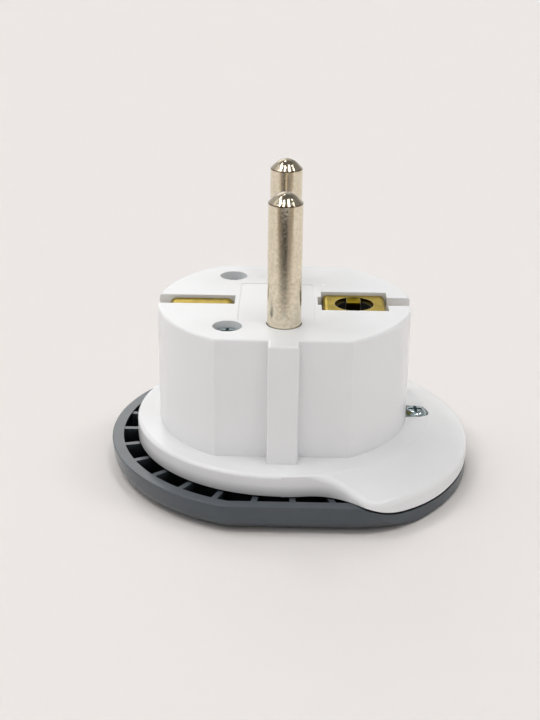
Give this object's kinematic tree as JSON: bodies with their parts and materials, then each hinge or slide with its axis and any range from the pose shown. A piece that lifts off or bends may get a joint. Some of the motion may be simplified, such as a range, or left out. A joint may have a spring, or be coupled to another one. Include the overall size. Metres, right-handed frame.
{
  "type": "travel plug adapter",
  "caption": "Travel plug adapter: an earthed round-pin plug body on a wider ribbed base with a side lobe, with a socket face on its underside.",
  "frame": {"origin": "on the plug's axis, midway between the two pins, in the plane of the socket face that the adapter stands on", "axes": "+Z along the plug pins, away from the socket face; +X from the plug's axis towards the side lobe; the two pins stand over the Y axis"},
  "size_m": [0.054, 0.0498, 0.0443],
  "materials": {
    "white_plastic": "moulded white plastic, fine satin grain",
    "grey_plastic": "moulded dark grey plastic, satin",
    "plated_pin": "satin nickel plating with a fine grain",
    "strip_brass": "satin pressed brass sheet",
    "contact_brass": "plain pressed brass",
    "black_plastic": "plain moulded black plastic",
    "zinc_steel": "zinc plated steel",
    "divider_plastic": "plain moulded insulating plastic"
  },
  "bodies": {
    "root": {"face_plate": "grey_plastic", "rear_housing": "white_plastic", "line_pin": "plated_pin", "neutral_pin": "plated_pin", "line_washer": "zinc_steel", "neutral_washer": "zinc_steel", "line_contact": "contact_brass", "neutral_contact": "contact_brass", "earth_clip": "strip_brass", "earth_plate": "strip_brass", "earth_sleeve": "black_plastic", "earth_strap": "contact_brass", "earth_contact": "contact_brass", "clip_rivet": "contact_brass", "plate_rivet": "contact_brass", "contact_rivet": "contact_brass", "contact_divider": "divider_plastic", "front_screw": "zinc_steel", "back_screw": "zinc_steel", "lobe_screw": "zinc_steel"}
  },
  "joints": []
}
